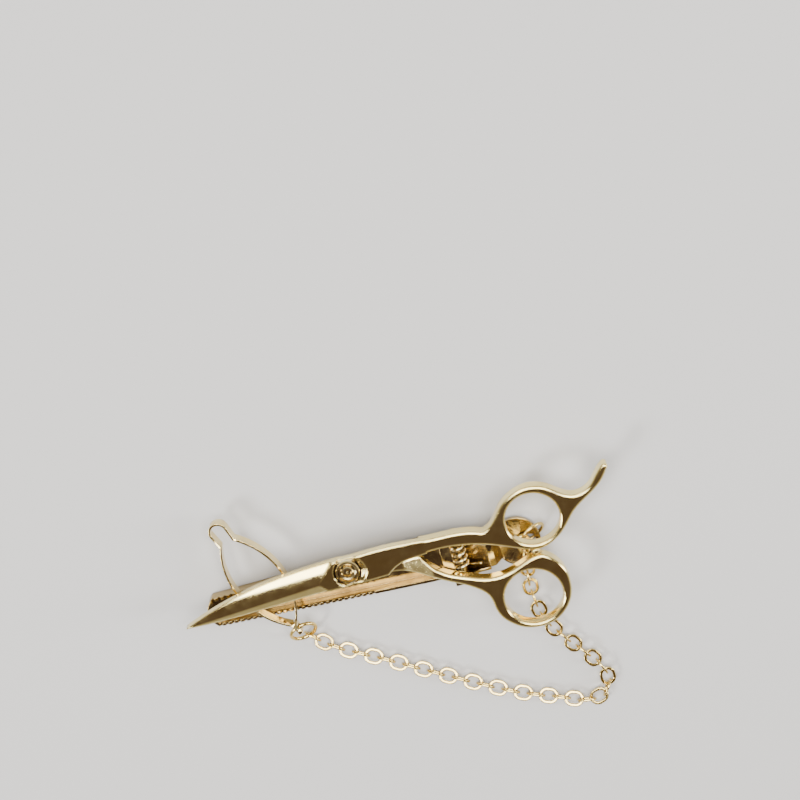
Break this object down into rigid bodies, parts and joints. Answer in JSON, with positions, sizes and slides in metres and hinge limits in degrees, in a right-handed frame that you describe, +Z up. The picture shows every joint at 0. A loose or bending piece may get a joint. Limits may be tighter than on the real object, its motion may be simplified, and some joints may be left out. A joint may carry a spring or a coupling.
{
  "type": "tie clip",
  "caption": "Gold-plated tie clip in the shape of lapped shears, with a sprung toothed clip on its back, and a chain from its thumb pad to a ribbon loop for a shirt button.",
  "frame": {"origin": "centre of the bounding box's base, where the object lies on its back", "axes": "+Z up out of the shears' face, +X along the shears from the blade tips to the finger rings, +Y towards the upper ring's side"},
  "size_m": [0.0624, 0.0424, 0.0074],
  "materials": {
    "front_shear": "gold-coloured plating, polished",
    "rear_shear": "gold-coloured plating, polished",
    "ring_bumper": "gold-coloured plating, polished",
    "pivot_screw": "gold-coloured plating, polished",
    "clip_bracket": "gold-coloured plating, polished",
    "hinge_pin": "gold-coloured plating, polished",
    "jaw_lever": "gold-coloured plating, polished",
    "clip_spring": "gold-coloured plating over spring wire",
    "jump_ring": "gold-coloured plating, polished",
    "chain_link": "gold-coloured plating, polished",
    "end_ring": "gold-coloured plating, polished",
    "button_loop": "gold-coloured plating, polished"
  },
  "bodies": {
    "front_shear": {"front_shear": "front_shear", "pivot_screw": "pivot_screw", "clip_bracket": "clip_bracket", "hinge_pin": "hinge_pin", "clip_spring": "clip_spring"},
    "rear_shear": {"rear_shear": "rear_shear", "ring_bumper": "ring_bumper"},
    "jaw_lever": {"jaw_lever": "jaw_lever"},
    "jump_ring": {"jump_ring": "jump_ring"},
    "chain_hook": {"chain_link_01": "chain_link"},
    "chain_lead": {"chain_link_02": "chain_link", "chain_link_03": "chain_link", "chain_link_04": "chain_link", "chain_link_05": "chain_link", "chain_link_06": "chain_link", "chain_link_07": "chain_link", "chain_link_08": "chain_link"},
    "chain_run": {"chain_link_09": "chain_link", "chain_link_10": "chain_link", "chain_link_11": "chain_link", "chain_link_12": "chain_link", "chain_link_13": "chain_link", "chain_link_14": "chain_link", "chain_link_15": "chain_link", "chain_link_16": "chain_link", "chain_link_17": "chain_link", "chain_link_18": "chain_link", "chain_link_19": "chain_link", "chain_link_20": "chain_link", "chain_link_21": "chain_link", "chain_link_22": "chain_link", "chain_link_23": "chain_link", "chain_link_24": "chain_link", "chain_link_25": "chain_link", "chain_link_26": "chain_link", "chain_link_27": "chain_link", "chain_link_28": "chain_link", "chain_link_29": "chain_link", "chain_link_30": "chain_link", "chain_link_31": "chain_link", "chain_link_32": "chain_link", "chain_link_33": "chain_link", "chain_link_34": "chain_link", "chain_link_35": "chain_link", "chain_link_36": "chain_link", "chain_link_37": "chain_link", "chain_link_38": "chain_link", "chain_link_39": "chain_link", "chain_link_40": "chain_link"},
    "end_ring": {"end_ring": "end_ring"},
    "button_loop": {"button_loop": "button_loop"}
  },
  "joints": [
    {"name": "scissor_pivot", "type": "hinge", "parent": "front_shear", "child": "rear_shear", "pos_m": [-0.00708, 0.01081, 0.00593], "axis": [0, 0, 1], "range_deg": [-20, 0]},
    {"name": "jaw_hinge", "type": "hinge", "parent": "front_shear", "child": "jaw_lever", "pos_m": [0.00832, 0.00775, 0.00303], "axis": [0.0262, -0.9997, 0], "range_deg": [0, 9.5], "stiffness_Nm_per_rad": 0.02, "springref_deg": -22.92, "deforming": ["clip_spring"]},
    {"name": "jump_ring_turn", "type": "hinge", "parent": "jaw_lever", "child": "jump_ring", "pos_m": [0.01902, 0.00813, 0.00165], "axis": [0.4307, -0.6335, 0.6428], "range_deg": [-40, 40]},
    {"name": "chain_hook_tilt", "type": "hinge", "parent": "jaw_lever", "child": "chain_hook", "pos_m": [0.0175, 0.00728, 0.00184], "axis": [0.0262, -0.9997, 0], "range_deg": [-10, 0]},
    {"name": "chain_lead_fall", "type": "hinge", "parent": "chain_hook", "child": "chain_lead", "pos_m": [0.01741, 0.0059, 0.00215], "axis": [1, 0, 0], "range_deg": [0, 7.5]},
    {"name": "chain_run_level", "type": "hinge", "parent": "chain_lead", "child": "chain_run", "pos_m": [0.01835, -0.00669, 0.00116], "axis": [1, 0, 0], "range_deg": [-7.5, 0]},
    {"name": "end_ring_swing", "type": "hinge", "parent": "chain_run", "child": "end_ring", "pos_m": [-0.01579, -0.00014, 0.00145], "axis": [0, 0, 1], "range_deg": [0, 12]},
    {"name": "loop_swing", "type": "hinge", "parent": "end_ring", "child": "button_loop", "pos_m": [-0.01651, 0.00264, 0.00378], "axis": [0, 0, 1], "range_deg": [-6, 6]}
  ],
  "couplings": [
    {"joint": "chain_hook_tilt", "follows": "jaw_hinge", "ratio": -1},
    {"joint": "chain_lead_fall", "follows": "jaw_hinge", "ratio": 0.7391},
    {"joint": "chain_run_level", "follows": "jaw_hinge", "ratio": -0.7391}
  ]
}
